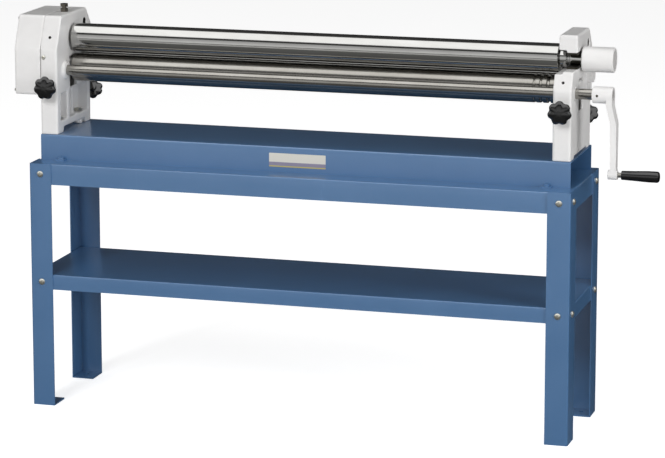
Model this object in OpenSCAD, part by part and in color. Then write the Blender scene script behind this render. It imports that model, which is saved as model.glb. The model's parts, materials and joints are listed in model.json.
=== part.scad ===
// Hand-cranked slip roll on a sheet metal stand.
// X runs along the rolls, Y from front to back, Z up.
// The origin is the middle of the four floor anchor holes, at floor level.

/* [Stand] */
// How far the stand's legs stand out past each end of the base channel
stand_margin = 11.5; // [6:0.5:60]
// Depth of the stand over its legs
stand_w = 360; // [345:5:420]
// Height of the stand
stand_h = 660; // [560:5:760]
// Width of a leg's flange along the rolls
flange_x = 61; // [50:1:70]
// Width of a leg's flange across the rolls
flange_y = 71; // [60:1:80]
// Thickness of the leg sheet
leg_t = 3; // [2:0.5:5]
// Thickness of the table top and shelf sheet
tray_t = 2; // [1.5:0.5:3]
// Depth of the folded rim under the table top
apron_h = 56; // [45:1:80]
// Height of the shelf's upper face
shelf_z = 360; // [250:5:450]
// Depth of the shelf's folded rim
shelf_lip = 41; // [30:1:60]
// Thickness of a foot plate
foot_t = 4; // [3:0.5:8]
// Diameter of the floor anchor hole in a foot plate
anchor_d = 12; // [8:0.5:16]
// Diameter of the bolts that hold the stand together
leg_bolt_d = 8; // [6:1:10]

/* [Base channel] */
// Length of the base channel
base_l = 1442; // [1300:2:1460]
// Depth of the base channel
base_w = 263; // [255:1:290]
// Height of the base channel
base_h = 67; // [50:1:90]
// Thickness of the base channel's sheet
base_t = 4; // [3:0.5:6]
// How far the base channel stands back from the stand's front
base_setback = 69; // [50:1:80]
// How far the base channel sits off the stand's middle, to the left
base_shift = 4.5; // [0:0.5:8]

/* [Heads] */
// Thickness of each cast head, along the rolls
head_w = 48; // [46:1:60]
// Depth of a head at its foot
head_foot_d = 245; // [240:1:252]
// Depth of a head behind the rear roll
head_d = 262; // [258:1:280]
// Height of a head above the base channel
head_h = 315; // [305:1:340]
// Distance from a head's outer face to the end of the base channel
head_inset = 1; // [0:0.5:10]
// Length of the gear cover, along the rolls
cover_l = 73; // [70:1:90]
// Wall of the gear cover
cover_t = 4; // [3:0.5:5]

/* [Rolls] */
// Diameter of the three rolls
roll_d = 75; // [70:0.5:78]
// Opening between the upper and the lower roll at rest
roll_gap = 6; // [5.5:0.1:7]
// Gap between a roll's end and the head beside it
roll_end_gap = 7; // [6:0.5:10]
// Diameter of the roll journals in the bearing blocks
journal_d = 30; // [26:1:32]
// Diameter of the upper roll's open journal
open_journal_d = 32; // [28:1:34]
// Diameter of the collar on the upper roll's open end
collar_d = 46; // [42:1:48]
// Length of the white hand sleeve
sleeve_l = 82; // [70:1:100]
// Diameter of the white hand sleeve
sleeve_d = 65; // [56:1:68]

/* [Axes, from the head's front foot] */
// Depth of the upper and lower roll axes
pinch_y = 121; // [118:0.5:124]
// Height of the upper roll's axis
upper_z = 248; // [246:0.5:250]
// Depth of the crank shaft's axis
shaft_y = 59; // [57:0.5:61]
// Depth of the rear roll's axis at rest
rear_y = 216; // [214:0.5:218]
// Height of the rear roll's axis at rest
rear_z = 195; // [193:0.5:197]
// Slope of the rear roll's travel above level, in degrees
rear_angle = 50; // [48:0.5:52]
// Travel of the rear roll up its slope
rear_travel = 32; // [20:1:32]
// Height of the clamping screws' axis
wedge_z = 130; // [129:0.5:131]

/* [Crank] */
// Diameter of the crank shaft
shaft_d = 28; // [24:0.5:30]
// Throw of the crank
crank_r = 205; // [150:1:240]
// Diameter of the crank's hub
hub_d = 43; // [40:1:48]
// Length of the crank's hub
hub_l = 53; // [40:1:60]
// Length of shaft that shows between the right head and the hub
shaft_show = 44; // [40:1:60]
// Thickness of the crank arm
arm_t = 16; // [12:1:20]
// Width of the crank arm at its end
arm_w = 25; // [20:1:30]
// Sideways offset of the arm's two bends
arm_offset = 11; // [0:1:20]
// Length of the crank's grip
grip_l = 98; // [80:1:120]
// Largest diameter of the crank's grip
grip_d = 29; // [24:1:34]

/* [Knobs] */
// Diameter over the knob's lobes
knob_d = 63; // [56:1:66]
// Thickness of the knob's lobes
knob_t = 19; // [14:1:22]
// Number of lobes
knob_lobes = 7; // [5:1:9]
// Diameter of the adjusting screws
screw_d = 14; // [12:0.5:16]

/* [Gears] */
// Module of the wide gears between the rolls
roll_module = 5; // [4.8:0.05:5]
// Teeth on each roll gear
roll_teeth = 15; // [15:1:15]
// Module of the train from the crank
drive_module = 4; // [3.9:0.05:4]
// Teeth on the crank's pinion and on the idler
pinion_teeth = 12; // [12:1:12]
// Teeth on the large drive wheel
wheel_teeth = 28; // [26:1:28]
// Width of the roll gears
roll_gear_w = 22; // [16:1:22]
// Width of the drive gears
drive_gear_w = 18; // [12:1:18]

/* [Hidden] */
$fn = 48;
// One overrun for every cut
cut = 1;
// Clearance of turning and sliding round fits, on the radius
run = 0.05;
// Clearance of flat sliding faces
slip = 0.4;
// Clearance of bolts in their holes, on the radius
bolt_play = 0.5;

// Length of the stand over its legs
stand_l = base_l + 2 * stand_margin;
// Bend radius of the folded sheets, on the outside
bend_r = 4;
// Rounding inside a leg's bend, and the notch at a tray's corner that clears it
leg_inner_r = max(bend_r - leg_t, 0.5);
corner_notch = leg_inner_r + 0.3;
// Rounding of the castings' edges
cast_r = 7;
plan_r = 5;
corner_steps = 5;

// Foot plates and stand bolts
bolt_head_share = 1.1;
bolt_head_h = 5;
nut_h = 6.5;
nut_share = 0.92;
socket_share = 0.32;
bolt_end = 3;

// Lugs that hold the base channel down, outside its front and its back
tab_l = 24;
tab_w = 20;
tab_inset = 60;
tab_bolt_d = 8;
tab_bolt_head_h = 5.5;

// Bolts that hold the heads down
head_bolt_d = 12;
head_bolt_hex = 18;
head_bolt_head_h = 8;
head_bolt_y = 50;
head_bolt_rear_y = 190;

// Head profile, from the front foot
left_front_h = 228;
right_front_h = 180;
slope_run = 39;
back_run = 40;
back_drop = 53;
swell_low = 120;
swell_high = 150;
lip_y = 23;
block_y = 71;
slot_h = 41;
wide_slot_h = 54;
wide_slot_l = 20;
liner_t = (slot_h - open_journal_d) / 2 - run;
liner_lip = 2;
arch_y = 43;
arch_end = 208;
arch_h = 7;
// The arch is higher on the inner side
arch_inner_h = 15;
arch_inner_depth = 20;
arch_step = 3;
// Pockets cast into the heads' inner faces
pocket_depth = 32;
pocket_top = 108;
pocket_front = [26, 75, 34];
pocket_middle = [92, 138, 34];
pocket_rear = [147, 226, 34];
// The rib between the two rear pockets ends below the inner face
rib_relief = 12;
relief_inset = 3;
pocket_r = 6;
lift_hole_d = 22;
lift_hole_y = 210;
lift_hole_z = 277;
boss_d = 47;
boss_h = 8;
bush_wall = 5;
oil_hole_d = 5;
oil_hole_depth = 12;
left_oil_share = 0.36;
right_oil_share = 0.45;

// Bearing blocks and wedges
block_w = 50;
block_up = 25;
rear_block = 46;
rear_boss_d = 44;
rear_boss_h = 14;
wedge_slope = 3;
wedge_l = 33;
wedge_hole = 22;
window_floor = 116;
lower_travel = roll_gap - 0.5;
wedge_travel = lower_travel * wedge_slope;
knob_gap = 1;
block_down = 26;
knob_hub = 5;
knob_bore = 16;
scallop_r = 9;
scallop_out = 4.5;
screw_in_wedge = 21;
blind = 4;
rear_boss_end = 92;
rear_boss_r = 18;
rear_knob_s = 163;
rear_screw_in = 5;

// Swivel block of the upper roll
swivel_d = 36;
swivel_h = 56;
swivel_journal_d = 25;
swivel_window_r = 16.5;
swivel_angle = 4;
plug_h = 37;
top_bolt_d = 12;
top_nut_h = 9;
top_nut_hex = 19;
top_bolt_head_h = 8;
top_bolt_gap = 5;
thin_collar_d = 60;
thin_collar_l = 2.5;
tongue_t = 8;
tongue_h = 22;
tongue_l = 8;
tongue_play = 2.7;

// Grooves for wire, from the lower roll's right end
groove_at = [25, 44.5, 62];
groove_r = [4.5, 3.5, 3];

// Upper roll's open end
collar_l = 17;
neck_d = 24;
neck_l = 8;
sleeve_gap = 5;
sleeve_bore_d = 50;
sleeve_bore_l = 30;
washer_d = 42;
washer_t = 3;
sleeve_screw_hex = 13;
sleeve_screw_h = 6;
sleeve_edge = 2;

// Gear train
pressure = 25;
backlash = 0.25;
root_share = 1.2;
tip_share = 1;
flank_steps = 4;
gear_gap = 3;
hub_r = 20;
spindle_d = 24;
spindle_flange_d = 44;
spindle_flange_t = 5;
idler_pin_d = 16;
idler_pin_head_d = 24;
idler_pin_head_t = 4;
gear_bore_d = 26;
pinion_bore_d = 20;
cover_bottom = 105;
cover_screw_d = 6;
cover_screw_in = 12;
cover_screw_head_h = 4;
pillar_inset = 11;
pillar_r = 8;
pillar_top = 240;
seam_screw_x = 10;
seam_screw_z = 207;
seam_screw_in = 12;

// Crank details
arm_bend_top = 27;
arm_bend_low = 72;
end_boss = 3;
pin_d = 13;
pin_show = 10;
grip_neck_share = 0.8;
grip_end_r = 6;
grip_bore_play = 0.1;
pin_head_d = 15;
pin_head_l = 4;
shaft_recess = 3;
set_screw_d = 7;
set_screw_inset = 14;

// Places that follow from the sizes above
base_top = stand_h + base_h;
front_y = -stand_w / 2 + base_setback;
inner = base_l / 2 - head_inset - head_w;
outer = inner + head_w;
head_x = inner + head_w / 2;
roll_l = 2 * (inner - roll_end_gap);
roll_r = roll_d / 2;
lower_z = upper_z - roll_d - roll_gap;
shaft_z = lower_z;
sleeve_x = outer + sleeve_gap;
hub_x = outer + shaft_show;
arm_x = hub_x + hub_l - arm_t;
pin_x = arm_x + arm_offset + arm_t + end_boss;
grip_x = pin_x + pin_show;
gear_a = outer + gear_gap;
gear_b = gear_a + roll_gear_w + gear_gap;
wheel_r = drive_module * wheel_teeth / 2;
train_d = [upper_z - shaft_z, pinch_y - shaft_y];
train_len = norm(train_d);
pinion_reach = drive_module * pinion_teeth;
wheel_reach = drive_module * (pinion_teeth + wheel_teeth) / 2;
along_train = (pinion_reach * pinion_reach - wheel_reach * wheel_reach + train_len * train_len)
    / (2 * train_len);
off_train = sqrt(pinion_reach * pinion_reach - along_train * along_train);
train_y = train_d[1] / train_len;
train_z = train_d[0] / train_len;
cover_pillars = [
    [pillar_inset, cover_bottom + pillar_inset],
    [head_foot_d - pillar_inset, cover_bottom + pillar_inset],
    [head_d - pillar_inset, pillar_top],
    [slope_run + pillar_inset * 0.7, head_h - pillar_inset],
];
idler_y = shaft_y + along_train * train_y - off_train * train_z;
idler_z = shaft_z + along_train * train_z + off_train * train_y;
slope_y = -cos(rear_angle);
slope_z = sin(rear_angle);
knob_y = -wedge_travel - knob_gap;

// Rounding of outlines: each point is [x, y, radius]
function unit(v) = v / norm(v);
function place(p) = [p[0], p[1]];
function arc_points(a, b, c, r) =
    let (
        u = unit(a - b),
        v = unit(c - b),
        half = acos(u * v) / 2,
        centre = b + unit(u + v) * r / sin(half),
        p = b + u * r / tan(half) - centre,
        q = b + v * r / tan(half) - centre
    )
    [for (i = [0 : corner_steps]) centre + r * unit(p * (corner_steps - i) + q * i)];
function rounded(points) =
    let (n = len(points))
    [for (i = [0 : n - 1])
        each points[i][2] == 0
            ? [place(points[i])]
            : arc_points(place(points[(i + n - 1) % n]), place(points[i]),
                place(points[(i + 1) % n]), points[i][2])];
function box_points(x0, x1, y0, y1, r) = [[x0, y0, r], [x1, y0, r], [x1, y1, r], [x0, y1, r]];

// Places and directions
module on_base() {
    translate([-base_shift, front_y, base_top]) children();
}
module along_x(x0, x1) {
    translate([x0, 0, 0]) rotate([90, 0, 90]) linear_extrude(x1 - x0) children();
}
module rod(x0, x1, d) {
    translate([x0, 0, 0]) rotate([0, 90, 0]) cylinder(h = x1 - x0, d = d);
}
module at(y, z) {
    translate([0, y, z]) children();
}
// The rear roll's slope: local +Z is up the slope, towards the upper roll
module on_slope() {
    at(rear_y, rear_z) rotate([90 - rear_angle, 0, 0]) children();
}
module side(s) {
    translate([s * head_x, 0, 0]) children();
}

// Stand
bolt_heights = [stand_h - apron_h / 2, shelf_z - shelf_lip / 2];

module leg() {
    color([0.38, 0.49, 0.65]) difference() {
        union() {
            linear_extrude(stand_h) polygon(rounded([
                [0, 0, bend_r], [flange_x, 0, 0], [flange_x, leg_t, 0],
                [leg_t, leg_t, leg_inner_r], [leg_t, flange_y, 0], [0, flange_y, 0]]));
            translate([leg_t, leg_t, 0]) cube([flange_x - leg_t, flange_y - leg_t, foot_t]);
        }
        for (z = bolt_heights) {
            translate([flange_x / 2, -cut, z]) rotate([-90, 0, 0])
                cylinder(h = leg_t + 2 * cut, d = leg_bolt_d + 2 * bolt_play);
            translate([-cut, flange_y / 2, z]) rotate([0, 90, 0])
                cylinder(h = leg_t + 2 * cut, d = leg_bolt_d + 2 * bolt_play);
        }
        translate([flange_x / 2, flange_y / 2, -cut]) cylinder(h = foot_t + 2 * cut, d = anchor_d);
    }
}
module corner(sx, sy) {
    mirror([sx > 0 ? 1 : 0, 0, 0]) mirror([0, sy > 0 ? 1 : 0, 0])
        translate([-stand_l / 2, -stand_w / 2, 0]) children();
}
module leg_front_left() { corner(-1, -1) leg(); }
module leg_front_right() { corner(1, -1) leg(); }
module leg_rear_left() { corner(-1, 1) leg(); }
module leg_rear_right() { corner(1, 1) leg(); }

module pan_block(l, w, h, r) {
    intersection() {
        translate([-l / 2, 0, 0]) rotate([90, 0, 90]) linear_extrude(l)
            polygon(rounded([[-w / 2, -h, 0], [w / 2, -h, 0], [w / 2, 0, r], [-w / 2, 0, r]]));
        translate([0, w / 2, 0]) rotate([90, 0, 0]) linear_extrude(w)
            polygon(rounded([[-l / 2, -h, 0], [l / 2, -h, 0], [l / 2, 0, r], [-l / 2, 0, r]]));
    }
}
// A sheet folded down on four sides, with holes for the bolts in its rims
module pan(top_z, lip) {
    l = stand_l - 2 * leg_t;
    w = stand_w - 2 * leg_t;
    color([0.33, 0.46, 0.66]) difference() {
        translate([0, 0, top_z]) difference() {
            pan_block(l, w, lip, bend_r);
            translate([0, 0, -tray_t])
                pan_block(l - 2 * tray_t, w - 2 * tray_t, lip + cut, bend_r - tray_t);
        }
        for (sx = [-1, 1], sy = [-1, 1])
            translate([sx * l / 2, sy * w / 2, top_z - lip - cut])
                linear_extrude(lip + 2 * cut) square(2 * corner_notch, center = true);
        for (sx = [-1, 1]) {
            translate([sx * (stand_l - flange_x) / 2, -stand_w / 2, top_z - lip / 2])
                rotate([-90, 0, 0]) cylinder(h = stand_w, d = leg_bolt_d + 2 * bolt_play);
        }
        for (sy = [-1, 1]) {
            translate([-stand_l / 2, sy * (stand_w - flange_y) / 2, top_z - lip / 2])
                rotate([0, 90, 0]) cylinder(h = stand_l, d = leg_bolt_d + 2 * bolt_play);
        }
        children();
    }
}
module table_top() {
    pan(stand_h, apron_h) for (p = tab_places)
        translate([p[0], p[1], stand_h - tray_t - cut])
            cylinder(h = tray_t + 2 * cut, d = tab_bolt_d + 2 * bolt_play);
}
module shelf() { pan(shelf_z, shelf_lip); }

// Domed head outside, shank through both sheets, nut inside
module button_bolt(d, grip) {
    head_r = d * bolt_head_share;
    difference() {
        union() {
            rotate_extrude() polygon([[0, -bolt_head_h], [head_r / 2, -bolt_head_h],
                [head_r * 0.85, -bolt_head_h * 0.6], [head_r, -bolt_head_h * 0.15], [head_r, 0], [0, 0]]);
            cylinder(h = grip + nut_h + bolt_end, d = d);
        }
        translate([0, 0, -bolt_head_h - cut])
            cylinder(h = bolt_head_h * 0.6 + cut, r = d * socket_share, $fn = 6);
    }
}
module hex_nut(d, z, h, across) {
    translate([0, 0, z]) difference() {
        cylinder(h = h, r = across, $fn = 6);
        translate([0, 0, -cut]) cylinder(h = h + 2 * cut, d = d + 2 * run);
    }
}
module stand_fixings() {
    for (sx = [-1, 1], sy = [-1, 1], z = bolt_heights) corner(sx, sy) {
        translate([flange_x / 2, 0, z]) rotate([-90, 0, 0]) children();
        translate([0, flange_y / 2, z]) rotate([0, 90, 0]) children();
    }
}
module stand_bolts() {
    color([0.8, 0.8, 0.78]) stand_fixings() button_bolt(leg_bolt_d, leg_t + tray_t);
}
module stand_nuts() {
    color([0.75, 0.75, 0.73]) stand_fixings()
        hex_nut(leg_bolt_d, leg_t + tray_t, nut_h, leg_bolt_d * nut_share);
}

// Base channel, open at both ends, with four lugs welded to its sides
tab_places = [for (sx = [-1, 1], sy = [-1, 1])
    [-base_shift + sx * (base_l / 2 - tab_inset),
        front_y + base_w / 2 + sy * (base_w + tab_w) / 2]];
head_bolt_places = [for (s = [-1, 1], y = [head_bolt_y, head_bolt_rear_y])
    [s * (inner + pocket_depth / 2), y]];

module base_channel() {
    color([0.39, 0.5, 0.66]) difference() {
        union() {
            translate([-base_shift - base_l / 2, front_y, stand_h]) rotate([90, 0, 90])
                linear_extrude(base_l) difference() {
                    polygon(rounded([[0, 0, 0], [base_w, 0, 0], [base_w, base_h, bend_r + 1],
                        [0, base_h, bend_r + 1]]));
                    polygon(rounded([[base_t, -cut, 0], [base_w - base_t, -cut, 0],
                        [base_w - base_t, base_h - base_t, 1], [base_t, base_h - base_t, 1]]));
                }
            for (p = tab_places)
                translate([p[0] - tab_l / 2, p[1] - tab_w / 2 - cut, stand_h])
                    cube([tab_l, tab_w + 2 * cut, base_t]);
        }
        for (p = tab_places) translate([p[0], p[1], stand_h - cut])
            cylinder(h = base_t + 2 * cut, d = tab_bolt_d + 2 * bolt_play);
        on_base() for (p = head_bolt_places) translate([p[0], p[1], -base_t - cut])
            cylinder(h = base_t + 2 * cut, d = head_bolt_d + 2 * bolt_play);
    }
}
module hex_bolt(d, across, head_h, l) {
    cylinder(h = head_h, r = across / sqrt(3), $fn = 6);
    translate([0, 0, -l]) cylinder(h = l + head_h / 2, d = d);
}
module base_bolts() {
    color([0.75, 0.75, 0.73]) for (p = tab_places) translate([p[0], p[1], stand_h + base_t])
        hex_bolt(tab_bolt_d, tab_bolt_d * 1.6, tab_bolt_head_h, base_t + tray_t + nut_h + bolt_end);
}
module base_nuts() {
    color([0.75, 0.75, 0.73]) for (p = tab_places)
        translate([p[0], p[1], stand_h]) mirror([0, 0, 1])
            hex_nut(tab_bolt_d, tray_t, nut_h, tab_bolt_d * nut_share);
}
module head_bolts() {
    color([0.75, 0.75, 0.73]) on_base() for (p = head_bolt_places) {
        floor_z = p[1] < pinch_y ? pocket_front[2] : pocket_rear[2];
        translate([p[0], p[1], floor_z])
            hex_bolt(head_bolt_d, head_bolt_hex, head_bolt_head_h,
                floor_z + base_t + nut_h * 1.5 + bolt_end);
    }
}
module head_nuts() {
    color([0.75, 0.75, 0.73]) on_base() for (p = head_bolt_places)
        translate([p[0], p[1], 0]) mirror([0, 0, 1])
            hex_nut(head_bolt_d, base_t, nut_h * 1.5, head_bolt_hex / sqrt(3));
}

// Heads: the outline seen from the side, and the plan that rounds its upright edges
top_back_y = head_d - back_run;
head_back = [[top_back_y, head_h, cast_r], [head_d, head_h - back_drop, cast_r],
    [head_d, swell_high, cast_r], [head_foot_d, swell_low, cast_r], [head_foot_d, 0, 0]];
left_outline = rounded(concat([[0, 0, 0], [0, left_front_h, cast_r],
    [slope_run, head_h, cast_r]], head_back));
right_outline = rounded(concat([[0, 0, 0], [0, right_front_h, cast_r],
    [lip_y, upper_z - slot_h / 2, cast_r / 2], [block_y, upper_z - slot_h / 2, 0],
    [block_y, head_h, cast_r + 1]], head_back));

module casting(x0, x1, outline) {
    intersection() {
        along_x(x0, x1) polygon(outline);
        linear_extrude(head_h + cut) polygon(rounded(box_points(x0, x1, 0, head_d, plan_r)));
        translate([0, head_d, 0]) rotate([90, 0, 0]) linear_extrude(head_d)
            polygon(rounded([[x0, -cut, 0], [x1, -cut, 0], [x1, head_h, plan_r], [x0, head_h, plan_r]]));
    }
}
module pockets(s) {
    for (p = [pocket_front, pocket_middle, pocket_rear])
        translate([s > 0 ? inner - cut : -inner + cut - pocket_depth - cut, 0, 0])
            rotate([90, 0, 90]) linear_extrude(pocket_depth + cut)
                polygon(rounded(box_points(p[0], p[1], p[2], pocket_top, pocket_r)));
    translate([s > 0 ? inner - cut : -inner - rib_relief, 0, 0])
        rotate([90, 0, 90]) linear_extrude(rib_relief + cut)
            polygon(rounded(box_points(pocket_middle[0] + relief_inset, pocket_rear[1] - relief_inset,
                pocket_middle[2] + relief_inset, pocket_top + relief_inset + 1, pocket_r - relief_inset)));
}
// The window of a lower bearing block, with its wedge below it
module lower_window() {
    translate([-head_w, pinch_y - block_w / 2 - slip, window_floor])
        cube([2 * head_w, block_w + 2 * slip,
            lower_z + block_up + lower_travel + slip - window_floor]);
}
module rear_window() {
    half = rear_block / 2 + slip;
    on_slope() translate([-head_w, -half, -half]) cube([2 * head_w, 2 * half, 2 * half + rear_travel]);
}
// Everything that both heads have: foot arch, bores, windows, screw boss and pockets
module head_cuts(s) {
    side(s) {
        lower_window();
        rear_window();
        at(lift_hole_y, lift_hole_z) rod(-head_w, head_w, lift_hole_d);
        translate([0, -cut, wedge_z]) rotate([-90, 0, 0])
            cylinder(h = pinch_y - block_w / 2 + 2 * cut, d = screw_d + 2 * run);
        on_slope() translate([0, 0, -rear_boss_end - cut])
            cylinder(h = rear_boss_end - rear_block / 2 + 2 * cut, d = screw_d + 2 * run);
    }
    difference() {
        union() {
            side(s) translate([-head_w, arch_y, -cut])
                cube([2 * head_w, arch_end - arch_y, arch_h + cut]);
            translate([s > 0 ? inner - cut : -inner - arch_inner_depth, arch_y + arch_step, -cut])
                cube([arch_inner_depth + cut, arch_end - arch_y - 2 * arch_step, arch_inner_h + cut]);
        }
        on_floor_bolts(s) cylinder(h = 2 * head_bolt_d, r = head_bolt_d);
    }
    side(s) at(shaft_y, shaft_z) rod(-head_w, head_w, shaft_d + 2 * bush_wall);
    pockets(s);
    on_floor_bolts(s) cylinder(h = head_h / 3, d = head_bolt_d + 2 * bolt_play);
}
module on_floor_bolts(s) {
    for (p = head_bolt_places) if (p[0] * s > 0) translate([p[0], p[1], -cut]) children();
}
module screw_boss(s) {
    side(s) on_slope() translate([0, 0, -rear_boss_end])
        cylinder(h = rear_boss_end - rear_block / 2, r = rear_boss_r);
}
module left_head() {
    color([0.9, 0.9, 0.88]) on_base() difference() {
        union() {
            casting(-outer, -inner, left_outline);
            screw_boss(-1);
            at(shaft_y, shaft_z) rod(-inner - cut, -inner + boss_h, boss_d);
        }
        head_cuts(-1);
        at(shaft_y, shaft_z) rod(-inner - cut, -inner + boss_h + cut, shaft_d + 2 * bush_wall);
        at(pinch_y, upper_z) side(-1) rod(-head_w, head_w, 2 * swivel_window_r);
        side(-1) translate([0, pinch_y, upper_z - swivel_h / 2])
            cylinder(h = head_h, d = swivel_d + 2 * run);
        at(idler_y, idler_z) rod(-outer - cut, -outer + head_w / 2, idler_pin_d);
        side(-1) oil_hole(slope_run * left_oil_share,
            left_front_h + (head_h - left_front_h) * left_oil_share,
            atan2(head_h - left_front_h, slope_run));
        for (p = cover_pillars) at(p[0], p[1]) rod(-outer - cut, -outer + cover_screw_in, cover_screw_d);
        seam_screw_place() cylinder(h = seam_screw_in + cut, d = cover_screw_d);
    }
}
module oil_hole(y, z, angle) {
    translate([0, y, z]) rotate([angle - 180, 0, 0]) translate([0, 0, -cut * 4])
        cylinder(h = oil_hole_depth + cut * 4, d = oil_hole_d);
}
module right_head() {
    color([0.9, 0.9, 0.88]) on_base() difference() {
        union() {
            casting(inner, outer, right_outline);
            screw_boss(1);
        }
        head_cuts(1);
        translate([inner - cut, -cut, upper_z - slot_h / 2])
            cube([head_w + 2 * cut, pinch_y + cut, slot_h]);
        at(pinch_y, upper_z) rod(inner - cut, outer + cut, slot_h);
        translate([inner - cut, -cut, upper_z - wide_slot_h / 2])
            cube([wide_slot_l + cut, pinch_y + cut, wide_slot_h]);
        at(pinch_y, upper_z) rod(inner - cut, inner + wide_slot_l, wide_slot_h);
        side(1) oil_hole(lip_y * right_oil_share,
            right_front_h + (upper_z - slot_h / 2 - right_front_h) * right_oil_share,
            atan2(upper_z - slot_h / 2 - right_front_h, lip_y));
    }
}
// Flat-sided lining of the open slot, where the upper roll's free journal runs
module journal_liner() {
    outside = slot_h / 2;
    inside = open_journal_d / 2 + run;
    color([0.35, 0.33, 0.3]) on_base() difference() {
        union() {
            at(pinch_y, upper_z) rod(inner + wide_slot_l, outer, 2 * outside);
            translate([inner + wide_slot_l, block_y, upper_z - outside])
                cube([head_w - wide_slot_l, pinch_y - block_y, 2 * outside]);
        }
        at(pinch_y, upper_z) rod(inner, outer + cut, 2 * inside);
        translate([inner, block_y - cut, upper_z - inside])
            cube([head_w + cut, pinch_y - block_y + cut, 2 * inside]);
    }
}
module shaft_bush(x0, x1) {
    color([0.72, 0.58, 0.35]) on_base() at(shaft_y, shaft_z) difference() {
        rod(x0, x1, shaft_d + 2 * bush_wall);
        rod(x0 - cut, x1 + cut, shaft_d + 2 * run);
    }
}
module shaft_bush_left() { shaft_bush(-outer, -inner + boss_h); }
module shaft_bush_right() { shaft_bush(inner, outer); }

// Gear cover: a cast shell with the head's outline, closed at its end, held by four long screws
cover_outline = rounded([[0, cover_bottom, cast_r], [0, left_front_h, cast_r],
    [slope_run, head_h, cast_r], [top_back_y, head_h, cast_r], [head_d, head_h - back_drop, cast_r],
    [head_d, swell_high, cast_r], [head_foot_d, swell_low, 2], [head_foot_d, cover_bottom, cast_r]]);
cover_inside = rounded([[cover_t, cover_bottom + cover_t, cast_r],
    [cover_t, left_front_h - cover_t * 0.2, cast_r],
    [slope_run + cover_t * 0.6, head_h - cover_t, cast_r],
    [top_back_y - cover_t * 0.4, head_h - cover_t, cast_r],
    [head_d - cover_t, head_h - back_drop - cover_t * 0.4, cast_r],
    [head_d - cover_t, swell_high + cover_t * 0.3, cast_r],
    [head_foot_d - cover_t, swell_low + cover_t * 0.3, 2],
    [head_foot_d - cover_t, cover_bottom + cover_t, cast_r - cover_t]]);

module gear_cover() {
    far = -outer - cover_l;
    color([0.9, 0.9, 0.88]) on_base() difference() {
        intersection() {
            union() {
                difference() {
                    along_x(far, -outer) polygon(cover_outline);
                    along_x(far + cover_t, -outer + cut) polygon(cover_inside);
                }
                for (p = cover_pillars) at(p[0], p[1]) rod(far + cover_t / 2, -outer, 2 * pillar_r);
            }
            translate([0, head_d, 0]) rotate([90, 0, 0]) linear_extrude(head_d)
                polygon(rounded([[far, 0, 0], [-outer, 0, 0], [-outer, head_h, 0],
                    [far, head_h, plan_r]]));
            linear_extrude(head_h) polygon(rounded([[far, 0, plan_r], [-outer, 0, 0],
                [-outer, head_d, 0], [far, head_d, plan_r]]));
        }
        at(pinch_y, upper_z) rod(far - cut, -outer, spindle_d);
        for (p = cover_pillars) at(p[0], p[1]) rod(far - cut, -outer + cut, cover_screw_d + 2 * run);
    }
}
module socket_screw(d, l, head_h) {
    difference() {
        union() {
            rotate_extrude() polygon([[0, -head_h], [d * 0.55, -head_h], [d * 0.9, -head_h / 3],
                [d * 0.9, 0], [0, 0]]);
            cylinder(h = l, d = d);
        }
        translate([0, 0, -head_h - cut]) cylinder(h = head_h / 2 + cut, r = d * 0.36, $fn = 6);
    }
}
module seam_screw_place() {
    translate([-outer + seam_screw_x, -cut, seam_screw_z]) rotate([-90, 0, 0]) children();
}
module cover_screws() {
    color([0.7, 0.7, 0.68]) on_base() for (p = cover_pillars)
        translate([-outer - cover_l, p[0], p[1]]) rotate([0, 90, 0])
            socket_screw(cover_screw_d, cover_l + cover_screw_in, cover_screw_head_h);
}
module seam_screw() {
    color([0.7, 0.7, 0.68]) on_base() seam_screw_place()
        translate([0, 0, cut]) socket_screw(cover_screw_d, seam_screw_in, cover_screw_head_h);
}

// Swivel of the upper roll's driven end, below its plug and top bolt
module swivel_block() {
    color([0.55, 0.56, 0.58]) on_base() difference() {
        translate([-head_x, pinch_y, upper_z - swivel_h / 2]) cylinder(h = swivel_h, d = swivel_d);
        at(pinch_y, upper_z) rod(-outer, -inner, swivel_journal_d + 2 * run);
    }
}
module swivel_plug() {
    color([0.75, 0.75, 0.74]) on_base() translate([-head_x, pinch_y, head_h - plug_h]) difference() {
        cylinder(h = plug_h, d = swivel_d + 2 * run);
        translate([0, 0, -cut]) cylinder(h = plug_h + 2 * cut, d = top_bolt_d);
    }
}
module swivel_bolt() {
    color([0.8, 0.8, 0.78]) on_base()
        translate([-head_x, pinch_y, head_h + top_nut_h + top_bolt_gap])
            hex_bolt(top_bolt_d, top_nut_hex, top_bolt_head_h, plug_h + top_nut_h + top_bolt_gap);
}
module swivel_locknut() {
    color([0.8, 0.8, 0.78]) on_base() translate([-head_x, pinch_y, head_h]) difference() {
        cylinder(h = top_nut_h, r = top_nut_hex / sqrt(3), $fn = 6);
        translate([0, 0, -cut]) cylinder(h = top_nut_h + 2 * cut, d = top_bolt_d);
    }
}

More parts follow.
